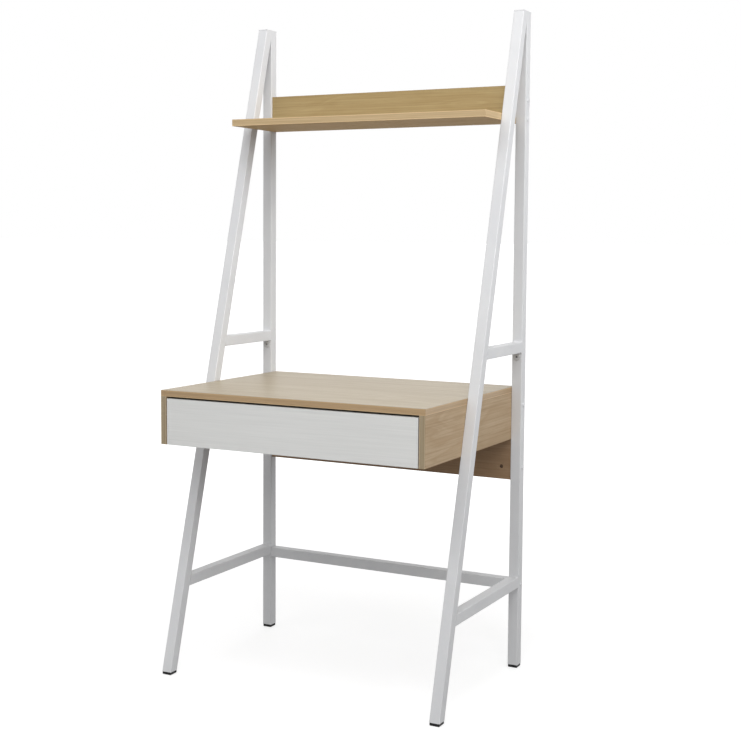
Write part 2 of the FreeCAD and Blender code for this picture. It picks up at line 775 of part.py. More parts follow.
def shelf():
    body = board_body("shelf", -half_width, half_width, wall_line - S.shelf_depth, wall_line,
                      shelf_bottom, shelf_top)
    cut_bolt_ends(body, "X", [shelf_bolt_level], back_middle, "shelf")
    nuts = [(side * barrel_nut_line, back_middle) for side, _ in SIDES]
    shelf_nut_bore = S.shelf_board / 2 + S.barrel_nut_length / 2
    cut_holes(body, "Z", shelf_bottom, nuts, S.barrel_nut + S.hole_fit, shelf_nut_bore,
              "shelf_nut_holes")
    screws = [(place, back_middle) for place in lip_screw_places]
    cut_holes(body, "Z", shelf_bottom, screws, S.screw + S.bolt_play, S.shelf_board,
              "shelf_screw_holes")
    for index, place in enumerate(lip_screw_places):
        sink = body.newObject("PartDesign::SubtractiveCone", "shelf_countersink%d" % index)
        bind(sink, "Radius1", (S.screw_head + S.hole_fit) / 2)
        bind(sink, "Radius2", (S.screw + S.hole_fit) / 2)
        bind(sink, "Height", S.flat_head_height)
        bind(sink, "Placement.Base.x", place)
        bind(sink, "Placement.Base.y", back_middle)
        bind(sink, "Placement.Base.z", shelf_bottom)
    return keep(body)


def shelf_lip():
    body = board_body("shelf_back_lip", -half_width, half_width, back_front, back_rear,
                      shelf_top, lip_top)
    cut_bolt_ends(body, "X", [lip_bolt_level], back_middle, "lip")
    nuts = [(side * barrel_nut_line, lip_bolt_level) for side, _ in SIDES]
    cut_holes(body, "Y", back_rear, nuts, S.barrel_nut + S.hole_fit, nut_bore,
              "lip_nut_holes", towards=-1)
    screws = [(place, back_middle) for place in lip_screw_places]
    cut_holes(body, "Z", shelf_top, screws, S.screw + S.hole_fit,
              S.lip_screw - S.shelf_board + S.hole_relief, "lip_screw_holes")
    return keep(body)


# ---------------------------------------------------------------------------------
# Drawer
# ---------------------------------------------------------------------------------
drawer_cam_levels = (groove_high + S.cam, drawer_high - S.cam)
drawer_screw_levels = (drawer_low + S.drawer_screw_low, drawer_high - S.drawer_screw_high)
nail_places = (-drawer_inner * 2 / 3, sized(0), drawer_inner * 2 / 3)


def slide_screw_places():
    """Y of the three screws of a slide."""
    return (slide_front + S.slide_screw_inset, (slide_front + slide_rear) / 2,
            slide_rear - S.slide_screw_inset)


def drawer_front():
    body = board_body("drawer_front", -front_half, front_half, desk_front, front_rear,
                      box_bottom, front_top)
    reach = drawer_inner + S.groove_depth
    cut_outline(body, "Y", front_rear, rectangle(-reach, reach, groove_low, groove_high),
                S.groove_depth, "drawer_front_groove", towards=-1)
    for side, word in SIDES:
        bolts = [(side * drawer_side_middle, level) for level in drawer_cam_levels]
        cut_cam_bolt_holes(body, "Y", front_rear, bolts, "drawer_front_cam_holes_" + word, -1)
    return keep(body)


def drawer_side(side, name):
    label = "drawer_%s_side" % name
    low, high = faces_across(side, drawer_inner, drawer_outer)
    body = board_body(label, low, high, front_rear, drawer_rear, drawer_low, drawer_high)
    inner_face = side * drawer_inner
    groove = rectangle(front_rear, drawer_rear, groove_low, groove_high)
    cut_outline(body, "X", inner_face, groove, S.groove_depth, label + "_groove", towards=side)
    bolts = [(side * drawer_side_middle, level) for level in drawer_cam_levels]
    cut_holes(body, "Y", front_rear, bolts, S.cam_bolt_hole, S.cam_reach,
              label + "_cam_bolts")
    cams = [(front_rear + S.cam_reach, level) for level in drawer_cam_levels]
    cut_holes(body, "X", inner_face, cams, S.cam + S.hole_fit,
              S.drawer_cam_depth + S.hole_fit, label + "_cams", towards=side)
    screws = [(place, slide_level) for place in slide_screw_places()]
    cut_holes(body, "X", side * drawer_outer, screws, S.screw + S.hole_fit,
              S.drawer_slide_screw + S.hole_relief, label + "_slide_screws", towards=-side)
    for index, level in enumerate(drawer_screw_levels):
        place = (side * drawer_outer, drawer_back_middle, level)
        cut_holes(body, "X", place[0], [place[1:]], S.screw + S.bolt_play, S.drawer_board,
                  "%s_back_screw%d" % (label, index), towards=-side)
        sink = body.newObject("PartDesign::SubtractiveCone", "%s_sink%d" % (label, index))
        bind(sink, "Radius1", (S.screw_head + S.hole_fit) / 2)
        bind(sink, "Radius2", (S.screw + S.hole_fit) / 2)
        bind(sink, "Height", S.flat_head_height)
        sink.Placement = pointing(place, (-side, 0, 0))
        for letter, size in zip("xyz", place):
            bind(sink, "Placement.Base." + letter, size)
    return keep(body)


def drawer_back():
    body = board_body("drawer_back", -drawer_inner, drawer_inner, drawer_back_front,
                      drawer_rear, groove_high, drawer_high)
    screws = [(drawer_back_middle, level) for level in drawer_screw_levels]
    depth = S.drawer_back_screw - S.drawer_board + S.hole_relief
    for side, word in SIDES:
        cut_holes(body, "X", side * drawer_inner, screws, S.screw + S.hole_fit, depth,
                  "drawer_back_holes_" + word, towards=-side)
    nails = [(place, drawer_back_middle) for place in nail_places]
    cut_holes(body, "Z", groove_high, nails, S.nail + S.hole_fit, S.nail_length,
              "drawer_back_nail_holes")
    return keep(body)


def drawer_bottom():
    reach = drawer_inner + S.groove_depth - S.groove_fit
    low = groove_low + S.groove_fit
    body = board_body("drawer_bottom", -reach, reach,
                      front_rear - S.groove_depth + S.groove_fit, drawer_rear, low,
                      low + S.bottom_board)
    nails = [(place, drawer_back_middle) for place in nail_places]
    cut_holes(body, "Z", low, nails, S.nail + S.hole_fit, S.bottom_board,
              "drawer_bottom_nail_holes")
    return keep(body)


# ---------------------------------------------------------------------------------
# Ball-bearing slides.  Each member is drawn with local X from the box side to the
# drawer side, local Y along the slide and local Z up from the slide's middle.
# ---------------------------------------------------------------------------------
half_slide = S.slide_height / 2
outer_ball_level = half_slide - S.slide_sheet - S.ball / 2 + S.race_depth
middle_half = outer_ball_level - S.ball / 2 + S.race_depth
inner_ball_level = middle_half - S.slide_sheet + S.race_depth - S.ball / 2
inner_half = inner_ball_level - S.ball / 2 + S.race_depth
race = S.ball + 2 * S.ball_fit


def channel(start, end, half, sheet, web_at_start):
    """Section of a C channel with its web at one end."""
    if web_at_start:
        web, web_inside, tip = start, start + sheet, end
    else:
        web, web_inside, tip = end, end - sheet, start
    return [
        (web, -half),
        (tip, -half),
        (tip, -half + sheet),
        (web_inside, -half + sheet),
        (web_inside, half - sheet),
        (tip, half - sheet),
        (tip, half),
        (web, half),
    ]


def lay_slide(body, side):
    """Turn and place a slide member against the box side."""
    turn = 180 if side > 0 else 0
    body.Placement = FreeCAD.Placement(Vector(0, 0, 0), FreeCAD.Rotation(Vector(0, 0, 1), turn))
    bind(body, "Placement.Base.x", side * side_inner)
    bind(body, "Placement.Base.y", slide_rear if side > 0 else slide_front)
    bind(body, "Placement.Base.z", slide_level)


def cut_races(body, line, level, name):
    """Ball races along both flanges."""
    cut_holes(body, "Y", 0, [(line, level), (line, -level)], race, S.slide_length, name)


def web_screw_places():
    """Local Y of a slide's screws."""
    return (S.slide_screw_inset, S.slide_length / 2, S.slide_length - S.slide_screw_inset)


def outer_member(side, name):
    """Wide channel with turned-in lips, screwed to the box side."""
    label = name + "_slide_outer"
    body = new_body(label)
    tip = S.outer_depth
    sheet = S.slide_sheet
    section = [
        (0, -half_slide),
        (tip, -half_slide),
        (tip, -half_slide + S.outer_lip),
        (tip - sheet, -half_slide + S.outer_lip),
        (tip - sheet, -half_slide + sheet),
        (sheet, -half_slide + sheet),
        (sheet, half_slide - sheet),
        (tip - sheet, half_slide - sheet),
        (tip - sheet, half_slide - S.outer_lip),
        (tip, half_slide - S.outer_lip),
        (tip, half_slide),
        (0, half_slide),
    ]
    add_pad(body, "Y", 0, section, S.slide_length, label + "_section")
    cut_races(body, S.outer_ball_line, outer_ball_level, label + "_races")
    for index, place in enumerate(web_screw_places()):
        sink = body.newObject("PartDesign::SubtractiveCone", "%s_sink%d" % (label, index))
        bind(sink, "Radius1", (S.screw + S.hole_fit) / 2)
        bind(sink, "Radius2", (S.screw_head + S.hole_fit) / 2)
        bind(sink, "Height", sheet)
        sink.Placement = pointing((0, place, 0), (1, 0, 0))
        bind(sink, "Placement.Base.y", place)
    lay_slide(body, side)
    return keep(body)


def middle_member(side, name):
    """Channel that runs between two rows of balls."""
    label = name + "_slide_middle"
    body = new_body(label)
    section = channel(S.middle_start, S.middle_start + S.middle_depth, middle_half,
                      S.slide_sheet, True)
    add_pad(body, "Y", 0, section, S.slide_length, label + "_section")
    cut_races(body, S.outer_ball_line, outer_ball_level, label + "_outer_races")
    cut_races(body, S.inner_ball_line, inner_ball_level, label + "_inner_races")
    windows = []
    for place in web_screw_places():
        windows.append((place, sized(0)))
    cut_holes(body, "X", S.middle_start, windows, S.screw_head + 2 * S.slide_sheet,
              S.slide_sheet, label + "_windows")
    lay_slide(body, side)
    return keep(body)


def inner_member(side, name):
    """Narrow channel screwed to the drawer side."""
    label = name + "_slide_inner"
    body = new_body(label)
    section = channel(S.slide_gap - S.inner_depth, S.slide_gap, inner_half, S.slide_sheet,
                      False)
    add_pad(body, "Y", 0, section, S.slide_length, label + "_section")
    cut_races(body, S.inner_ball_line, inner_ball_level, label + "_races")
    holes = [(place, sized(0)) for place in web_screw_places()]
    cut_holes(body, "X", S.slide_gap - S.slide_sheet, holes, S.screw + S.bolt_play,
              S.slide_sheet, label + "_screw_holes")
    lay_slide(body, side)
    return keep(body)


def ball_places():
    """Local Y of the balls in a cage."""
    middle = S.slide_length / 2
    return (middle - S.ball_pitch, middle, middle + S.ball_pitch)


def ball_cage(side, name, row, start, line, level):
    """Thin channel that keeps two rows of balls apart."""
    label = "%s_%s_ball_cage" % (name, row)
    body = new_body(label)
    first = (S.slide_length - S.cage_length) / 2
    section = channel(start, S.cage_flange_end, level + S.cage_sheet / 2, S.cage_sheet, True)
    add_pad(body, "Y", first, section, S.cage_length, label + "_section")
    centres = [(line, place) for place in ball_places()]
    reach = level + S.cage_sheet
    cut_holes(body, "Z", -reach, centres, S.cage_ball_hole, 2 * reach, label + "_pockets")
    lay_slide(body, side)
    return keep(body)


def ball_set(side, name, row, line, level):
    """The balls of one cage."""
    label = "%s_%s_balls" % (name, row)
    ball = DOC.addObject("Part::Sphere", label + "_master")
    bind(ball, "Radius", S.ball / 2)
    start = slide_rear if side > 0 else slide_front
    places = []
    for place in ball_places():
        for up in (-1, 1):
            spot = (side * (side_inner - line), start - side * place, slide_level + up * level)
            places.append(pointing(spot, (0, 0, 1)))
    return add_group(label, ball, places)


# ---------------------------------------------------------------------------------
# Fasteners.  A master points up: its head or face is at local +Z, its shank goes down.
# ---------------------------------------------------------------------------------
def hexagon(across_flats):
    corner = across_flats / math.sqrt(3)
    ring = []
    for step in range(6):
        angle = math.radians(60 * step)
        ring.append((corner * math.cos(angle), corner * math.sin(angle)))
    return ring


def connector_bolt(name, length):
    """Button-head bolt with a hex socket; the head rests on local Z = 0."""
    body = new_body(name)
    shank = S.bolt / 2
    head = S.bolt_head / 2
    tip = S.bolt / 8
    section = [
        (0, -length),
        (shank - tip, -length),
        (shank, -length + tip),
        (shank, 0),
        (head, 0),
        (head, S.bolt_head_height / 4),
        (head - S.bolt_head_height / 2, S.bolt_head_height * 3 / 4),
        (S.socket * 3 / 4, S.bolt_head_height),
        (0, S.bolt_head_height),
    ]
    spin(body, section, name + "_section")
    cut_outline(body, "Z", S.bolt_head_height, hexagon(S.socket), S.socket_depth,
                name + "_socket", towards=-1)
    return body


def barrel_nut_master():
    """Cross dowel: its axis is local Z, its thread runs along local X."""
    body = new_body("barrel_nut_master")
    radius = S.barrel_nut / 2
    half = S.barrel_nut_length / 2
    section = [(0, -half), (radius, -half), (radius, half), (0, half)]
    spin(body, section, "barrel_nut_section")
    cut_holes(body, "X", -S.barrel_nut, [(0, 0)], thread_hole, 2 * S.barrel_nut,
              "barrel_nut_thread")
    slot = rectangle(-radius, radius, -S.socket_depth / 4, S.socket_depth / 4)
    cut_outline(body, "Z", half, slot, S.socket_depth / 2, "barrel_nut_slot", towards=-1)
    return body


def rivet_nut_master():
    """Threaded insert with a flat flange on local Z = 0."""
    body = new_body("rivet_nut_master")
    bore = thread_hole / 2
    barrel = S.rivet_nut / 2
    flange = S.rivet_nut_flange / 2
    section = [
        (bore, -S.rivet_nut_length),
        (barrel, -S.rivet_nut_length),
        (barrel, 0),
        (flange, 0),
        (flange, S.rivet_nut_flange_height),
        (bore, S.rivet_nut_flange_height),
    ]
    spin(body, section, "rivet_nut_section")
    return body


def cut_cross(body, level, arm, half, depth, name):
    """Cross recess for a driver, cut down from a level."""
    for turn, (long_u, long_v) in enumerate(((arm, half), (half, arm))):
        cut_outline(body, "Z", level, rectangle(-long_u, long_u, -long_v, long_v), depth,
                    "%s_cross%d" % (name, turn), towards=-1)


def wood_screw(name, length, head_height, pan_head):
    """Screw whose head is above local Z = 0 if it is a pan head, else flush with it."""
    body = new_body(name)
    shank = S.screw / 2
    head = S.screw_head / 2
    point = (0, -length)
    taper = (shank, -length + S.screw)
    if pan_head:
        crown = head - head_height / 2
        top = [(shank, 0), (head, 0), (crown, head_height), (0, head_height)]
    else:
        top = [(shank, -head_height), (head, 0), (0, 0)]
    spin(body, [point, taper] + top, name + "_section")
    face = head_height if pan_head else 0
    cut_cross(body, face, S.screw_head / 3, S.screw_head / 12, head_height / 2, name)
    return body


def nail_master():
    body = new_body("nail_master")
    shank = S.nail / 2
    head = S.nail_head / 2
    section = [
        (0, -S.nail_length),
        (shank, -S.nail_length + S.nail),
        (shank, 0),
        (head, 0),
        (head, S.nail_head_height),
        (0, S.nail_head_height),
    ]
    spin(body, section, "nail_section")
    return body


def cam_lock(name, depth, thickness):
    """Cam with its face on local Z = 0 and its bolt coming in along local +X."""
    body = new_body(name)
    radius = S.cam / 2
    section = [(0, -depth), (radius, -depth), (radius, 0), (0, 0)]
    spin(body, section, name + "_section")
    half_slot = S.cam_bolt_ball / 2 + S.hole_relief / 2
    ceiling = -(thickness / 2 - half_slot)
    slot = rectangle(-half_slot - S.hole_relief, S.cam, -half_slot, half_slot)
    cut_outline(body, "Z", ceiling, slot, depth, name + "_slot", towards=-1)
    cut_cross(body, 0, S.cam / 3, S.cam / 20, S.socket_depth / 2, name)
    return body


def cam_bolt_master():
    """Cam bolt: thread above local Z = 0, neck and round head below it."""
    body = new_body("cam_bolt_master")
    thread = S.bolt / 2
    neck = S.cam_bolt_ball / 4
    ball = S.cam_bolt_ball / 2
    collar = S.cam_bolt_hole / 2 - S.hole_fit
    head_top = -S.cam_reach + S.cam_bolt_ball / 3
    head_low = -S.cam_reach - S.cam_bolt_ball / 3
    section = [
        (0, S.cam_bolt_thread),
        (thread, S.cam_bolt_thread),
        (thread, 0),
        (collar, 0),
        (collar, -S.cam_bolt_ball / 2),
        (neck, -S.cam_bolt_ball / 2),
        (neck, head_top),
        (ball, head_top),
        (ball, head_low),
        (0, head_low),
    ]
    spin(body, section, "cam_bolt_section")
    return body


def dowel_master():
    """Fluted dowel drawn plain, with the entering end above local Z = 0."""
    body = new_body("dowel_master")
    radius = S.dowel / 2
    bevel = S.dowel / 8
    high = S.dowel_short_end
    low = high - S.dowel_length
    section = [
        (0, low),
        (radius - bevel, low),
        (radius, low + bevel),
        (radius, high - bevel),
        (radius - bevel, high),
        (0, high),
    ]
    spin(body, section, "dowel_section")
    return body


def leg_to_board_bolts():
    """Bolts through the rear legs with their barrel nuts in the boards."""
    bolt = connector_bolt("panel_bolt_master", S.panel_bolt_length)
    nut = barrel_nut_master()
    outside = half_width + S.tube
    levels = back_bolt_levels + (shelf_bolt_level, lip_bolt_level)
    bolts = []
    nuts = []
    for side, _ in SIDES:
        for level in levels:
            bolts.append(pointing((side * outside, back_middle, level), (side, 0, 0)))
            place = (side * barrel_nut_line, back_middle, level)
            if level is shelf_bolt_level:
                nuts.append(pointing(place, (0, 0, -1), (1, 0, 0)))
            elif level is lip_bolt_level:
                nuts.append(pointing(place, (0, 1, 0), (1, 0, 0)))
            else:
                nuts.append(pointing(place, (0, -1, 0), (1, 0, 0)))
    add_group("rear_leg_bolts", bolt, bolts)
    add_group("barrel_nuts", nut, nuts)


def rail_bolts():
    bolt = connector_bolt("rail_bolt_master", S.rail_bolt_length)
    outside = half_width + S.tube
    places = []
    for side, _ in SIDES:
        places.append(pointing((side * outside, rear_leg_middle, rail_level), (side, 0, 0)))
    add_group("cross_rail_bolts", bolt, places)


def front_leg_bolts():
    """Bolts from inside the desk box into rivet nuts in the front legs."""
    bolt = connector_bolt("leg_bolt_master", S.leg_bolt_length)
    nut = rivet_nut_master()
    bolts = []
    nuts = []
    for side, _ in SIDES:
        for level in leg_bolt_levels:
            across = front_leg_middle(level)
            bolts.append(pointing((side * side_inner, across, level), (-side, 0, 0)))
            nuts.append(pointing((side * half_width, across, level), (-side, 0, 0)))
    add_group("front_leg_bolts", bolt, bolts)
    add_group("front_leg_rivet_nuts", nut, nuts)


def box_fittings():
    """Cams, cam bolts and dowels that hold the desk box together."""
    cam = cam_lock("box_cam_master", S.box_cam_depth, S.board)
    bolt = cam_bolt_master()
    dowel = dowel_master()
    cams = []
    bolts = []
    dowels = []
    for side, _ in SIDES:
        face = side * side_inner
        middle = side * side_middle
        inward = (-side, 0, 0)
        for place in top_cam_places:
            cams.append(pointing((face, place, box_top - S.cam_reach), inward, (0, 0, 1)))
            bolts.append(pointing((middle, place, box_top), (0, 0, 1)))
        for level in back_cam_levels:
            cams.append(pointing((face, back_front - S.cam_reach, level), inward, (0, 1, 0)))
            bolts.append(pointing((middle, back_front, level), (0, 1, 0)))
        for place in top_dowel_places:
            dowels.append(pointing((middle, place, box_top), (0, 0, 1)))
        dowels.append(pointing((middle, back_front, back_dowel_level), (0, 1, 0)))
    add_group("box_cam_locks", cam, cams)
    add_group("box_cam_bolts", bolt, bolts)
    add_group("box_dowels", dowel, dowels)
    return bolt


def drawer_fittings(cam_bolt):
    """Cams, cam bolts, screws and nails that hold the drawer together."""
    cam = cam_lock("drawer_cam_master", S.drawer_cam_depth, S.drawer_board)
    screw = wood_screw("drawer_screw_master", S.drawer_back_screw, S.flat_head_height, False)
    nail = nail_master()
    cams = []
    bolts = []
    screws = []
    for side, _ in SIDES:
        for level in drawer_cam_levels:
            spot = (side * drawer_inner, front_rear + S.cam_reach, level)
            cams.append(pointing(spot, (-side, 0, 0), (0, -1, 0)))
            spot = (side * drawer_side_middle, front_rear, level)
            bolts.append(pointing(spot, (0, -1, 0)))
        for level in drawer_screw_levels:
            spot = (side * drawer_outer, drawer_back_middle, level)
            screws.append(pointing(spot, (side, 0, 0)))
    nails = []
    for place in nail_places:
        spot = (place, drawer_back_middle, groove_low + S.groove_fit)
        nails.append(pointing(spot, (0, 0, -1)))
    add_group("drawer_cam_locks", cam, cams)
    add_group("drawer_cam_bolts", cam_bolt, bolts)
    add_group("drawer_back_screws", screw, screws)
    add_group("drawer_bottom_nails", nail, nails)


def slide_screws():
    """Screws of the outer members in the box sides and of the inner in the drawer."""
    flush = wood_screw("box_slide_screw_master", S.box_slide_screw + S.slide_sheet,
                       S.slide_head_height, False)
    pan = wood_screw("drawer_slide_screw_master", S.drawer_slide_screw + S.slide_sheet,
                     S.pan_head_height, True)
    in_box = []
    in_drawer = []
    for side, _ in SIDES:
        for place in slide_screw_places():
            spot = (side * (side_inner - S.slide_sheet), place, slide_level)
            in_box.append(pointing(spot, (-side, 0, 0)))
            spot = (side * (drawer_outer + S.slide_sheet), place, slide_level)
            in_drawer.append(pointing(spot, (side, 0, 0)))
    add_group("box_slide_screws", flush, in_box)
    add_group("drawer_slide_screws", pan, in_drawer)


def lip_screws():
    screw = wood_screw("lip_screw_master", S.lip_screw, S.flat_head_height, False)
    places = []
    for place in lip_screw_places:
        places.append(pointing((place, back_middle, shelf_bottom), (0, 0, -1)))
    add_group("shelf_lip_screws", screw, places)


# ---------------------------------------------------------------------------------
# Assembly
# ---------------------------------------------------------------------------------
def build():
    for side, name in SIDES:
        front_leg(side, name)
        rear_leg(side, name)
        strut(side, name, "upper", S.upper_strut_top)
        strut(side, name, "lower", S.lower_strut_top)
        top_plate(side, name)
        foot(side, name, True)
        foot(side, name, False)
        box_side(side, name)
        drawer_side(side, name)
        outer_member(side, name)
        middle_member(side, name)
        inner_member(side, name)
        ball_cage(side, name, "outer", S.outer_cage_start, S.outer_ball_line,
                  outer_ball_level)
        ball_cage(side, name, "inner", S.inner_cage_start, S.inner_ball_line,
                  inner_ball_level)
        ball_set(side, name, "outer", S.outer_ball_line, outer_ball_level)
        ball_set(side, name, "inner", S.inner_ball_line, inner_ball_level)
    cross_rail()
    rail_end_plates()
    wall_bushes()
    desk_top()
    back_panel()
    shelf()
    shelf_lip()
    drawer_front()
    drawer_back()
    drawer_bottom()
    leg_to_board_bolts()
    rail_bolts()
    front_leg_bolts()
    cam_bolt = box_fittings()
    drawer_fittings(cam_bolt)
    slide_screws()
    lip_screws()
    DOC.recompute()


def check():
    """Stop if any object failed, any cut removed nothing or any node is broken."""
    for thing in DOC.Objects:
        if "Invalid" in thing.State or "Error" in thing.State:
            raise RuntimeError("%s failed: %s" % (thing.Label, thing.State))
        if thing.TypeId in ("PartDesign::Pocket", "PartDesign::SubtractiveCone"):
            before = thing.BaseFeature.Shape.Volume
            if thing.Shape.Volume >= before - 1e-6:
                raise RuntimeError("%s cuts nothing" % thing.Label)
    for node in NODES:
        if node.Shape.isNull() or not node.Shape.isValid():
            raise RuntimeError("%s has no valid shape" % node.Label)


def export():
    os.makedirs("parts", exist_ok=True)
    for node in NODES:
        node.Shape.exportStep("parts/%s.step" % node.Label)
    print("%d nodes" % len(NODES))


build()
check()
export()
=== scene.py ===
import json
import math

import bpy
from mathutils import Matrix, Vector


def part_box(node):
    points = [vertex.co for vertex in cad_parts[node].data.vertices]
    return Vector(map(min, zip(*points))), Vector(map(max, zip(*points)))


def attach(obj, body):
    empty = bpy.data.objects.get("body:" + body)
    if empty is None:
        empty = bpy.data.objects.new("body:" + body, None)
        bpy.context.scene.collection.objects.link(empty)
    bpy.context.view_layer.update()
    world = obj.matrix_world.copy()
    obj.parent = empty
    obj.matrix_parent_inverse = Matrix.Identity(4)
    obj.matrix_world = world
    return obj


# Looks of the ladder desk.  Metres, in the frame of the CAD model: +X right, +Y to the
# wall, +Z up, origin on the floor.  Patterns are scaled in cycles per metre.

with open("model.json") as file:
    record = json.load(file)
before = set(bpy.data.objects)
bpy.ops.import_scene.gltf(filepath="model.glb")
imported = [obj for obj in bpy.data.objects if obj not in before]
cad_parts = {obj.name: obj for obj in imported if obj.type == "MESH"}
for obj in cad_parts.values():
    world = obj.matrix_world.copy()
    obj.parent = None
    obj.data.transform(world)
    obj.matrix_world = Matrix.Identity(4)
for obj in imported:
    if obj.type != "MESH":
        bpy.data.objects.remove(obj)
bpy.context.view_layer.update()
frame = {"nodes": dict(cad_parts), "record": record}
nodes = frame["nodes"]


# ---------------------------------------------------------------------------------
# Shader building
# ---------------------------------------------------------------------------------
NOISE_LOW, NOISE_HIGH = 0.3, 0.7                # most of a noise lies between these
MIX_FIRST, MIX_SECOND, MIX_RESULT = 6, 7, 2     # colour sockets of a Mix node


class Shader:
    """A material's node tree with short calls to add nodes and join them."""

    def __init__(self, name):
        self.material = bpy.data.materials.new(name)
        self.material.use_nodes = True
        self.tree = self.material.node_tree
        self.surface = self.tree.nodes["Principled BSDF"]

    def add(self, kind, settings=None, **inputs):
        node = self.tree.nodes.new("ShaderNode" + kind)
        for key, value in (settings or {}).items():
            setattr(node, key, value)
        for key, value in inputs.items():
            self.feed(node, key, value)
        return node

    def feed(self, node, key, value):
        """Set an input by its name or number, from a constant or from an output."""
        if isinstance(key, str):
            key = key.replace("_", " ")
            if key[-1].isdigit() and key.startswith("in"):
                key = int(key[2:])
        socket = node.inputs[key]
        if isinstance(value, bpy.types.NodeSocket):
            self.tree.links.new(value, socket)
        else:
            socket.default_value = value

    def math(self, operation, first, second=0.0):
        return self.add("Math", {"operation": operation}, in0=first, in1=second).outputs[0]

    def vector(self, operation, first, second=(0, 0, 0)):
        node = self.add("VectorMath", {"operation": operation}, in0=first, in1=second)
        return node.outputs[0]

    def split(self, vector):
        return self.add("SeparateXYZ", in0=vector).outputs

    def on_all_axes(self, value):
        return self.add("CombineXYZ", in0=value, in1=value, in2=value).outputs[0]

    def place(self):
        return self.add("TexCoord").outputs["Object"]

    def stretched(self, scale=(1, 1, 1), offset=(0, 0, 0)):
        """Object coordinates, moved by an offset and then scaled axis by axis."""
        moved = self.vector("ADD", self.place(), offset)
        return self.vector("MULTIPLY", moved, scale)

    def noise(self, vector, scale=1.0, detail=2.0, roughness=0.5, distortion=0.0):
        node = self.add("TexNoise", Vector=vector, Scale=scale, Detail=detail,
                        Roughness=roughness, Distortion=distortion)
        return node.outputs["Fac"]

    def spread(self, value, low, high, to_low=0.0, to_high=1.0):
        """Value moved from low..high to to_low..to_high, and held there."""
        node = self.add("MapRange", {"clamp": True}, Value=value, From_Min=low,
                        From_Max=high, To_Min=to_low, To_Max=to_high)
        return node.outputs[0]

    def vary(self, noise, to_low=0.0, to_high=1.0):
        """Noise moved from its usual range to to_low..to_high."""
        return self.spread(noise, NOISE_LOW, NOISE_HIGH, to_low, to_high)

    def blend(self, factor, first, second, mode="MIX"):
        node = self.add("Mix", {"data_type": "RGBA", "blend_type": mode}, Factor=factor)
        self.feed(node, MIX_FIRST, first)
        self.feed(node, MIX_SECOND, second)
        return node.outputs[MIX_RESULT]

    def layered(self, colour, *layers):
        """A colour with others laid over it in turn, each given as (share, colour)."""
        for share, over in layers:
            colour = self.blend(share, colour, over)
        return colour

    def bump(self, height, distance, strength):
        node = self.add("Bump", Height=height, Distance=distance, Strength=strength)
        return node.outputs[0]

    def finish(self, **inputs):
        for key, value in inputs.items():
            self.feed(self.surface, key, value)
        return self.material


def grey(level):
    return (level, level, level, 1.0)


# ---------------------------------------------------------------------------------
# Boards: a printed face, edging along the rim, chipboard inside the drilled holes
# ---------------------------------------------------------------------------------
AXES = {"X": 0, "Y": 1, "Z": 2}

EDGE_BAND = 0.0013      # width of the edging's end seen on a board's face
ARRIS_BAND = 0.0019     # width of the painted highlight along the oak edging's arrises, and of a darker line on the white boards
SKIN = 0.0006           # deeper than this under a board's faces is chipboard core
CHIPS = 420.0           # chips per metre in the core
CHIP_DUST = 900.0       # and the fine dust between them

# Cycles per metre of the boards' patterns, along and across the grain or the edging
WARP = (1.6, 9.0)
WARP_SHOVE = 5.5        # how far the warp moves the figure, in cycles
FIGURE = (0.9, 16.0)
STREAKS = (3.0, 260.0)
FINE_LINES = (14.0, 1100.0)
PORES = (40.0, 1500.0)
TAPE = (4.0, 420.0)
FLECKS = (30.0, 1300.0)
OAK_CLOUD = (2.5, 2.5, 2.5)
PRESSED_GRAIN = (6.0, 320.0)
WHITE_CLOUD = (5, 5, 5)

SATIN = (0.31, 0.5)     # lowest roughness and specular level of the worktop's laminate
MATT = (0.60, 0.12)     # and of the laminate on the other boards
OAK_LIGHT = (0.552, 0.420, 0.281)
OAK_MID = (0.465, 0.336, 0.208)
OAK_DARK = (0.340, 0.232, 0.132)
OAK_EDGE = (0.446, 0.315, 0.183)
OAK_EDGE_DARK = (0.336, 0.223, 0.118)
# Painted highlight along the oak edging's arrises, lighter than the edging
OAK_ARRIS_HIGHLIGHT = (0.640, 0.452, 0.258)
OAK_SEAM = (0.250, 0.155, 0.078)


def along_grain(grain, along, across):
    """Scales that stretch a pattern along one axis."""
    scale = [across, across, across]
    scale[AXES[grain]] = along
    return tuple(scale)


def along_edges(thin, along, across):
    """Scales that stretch a pattern along a board's edges, all the way round."""
    scale = [along, along, along]
    scale[AXES[thin]] = across
    return tuple(scale)


def board_regions(shader, node, thin):
    """Masks of a board: its edging, the edging's arrises, the edging's end seen on the
    face, and the core.  Thin is the axis of its thickness."""
    low, high = (Vector(corner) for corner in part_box(node))
    centre = (low + high) / 2
    half = (high - low) / 2
    offset = shader.vector("ABSOLUTE", shader.vector("SUBTRACT", shader.place(), centre))
    margins = shader.split(shader.vector("SUBTRACT", half, offset))
    flat = [margins[i] for i in range(3) if i != AXES[thin]]
    rim = shader.math("MINIMUM", flat[0], flat[1])
    face = margins[AXES[thin]]
    depth = shader.math("MINIMUM", rim, face)
    core = shader.math("GREATER_THAN", depth, SKIN)
    edging = shader.math("GREATER_THAN", face, SKIN)
    arris = shader.math("LESS_THAN", face, ARRIS_BAND)
    seam = shader.math("LESS_THAN", rim, EDGE_BAND)
    return edging, arris, seam, core


def chipboard(shader, offset):
    """Colour of the pressed chips inside a board."""
    place = shader.stretched(offset=offset)
    chips = shader.add("TexVoronoi", Vector=place, Scale=CHIPS)
    dust = shader.noise(place, scale=CHIP_DUST, detail=3.0)
    colour = shader.blend(chips.outputs["Distance"], (0.36, 0.25, 0.15, 1),
                          (0.17, 0.10, 0.055, 1))
    return shader.blend(dust, colour, (0.42, 0.31, 0.20, 1), "MULTIPLY")


def toned(colour, tone):
    """A colour with each channel multiplied by a board's tone, which on some boards paints
    light or shade.
    """
    return tuple(channel * factor for channel, factor in zip(colour, tone)) + (1.0,)


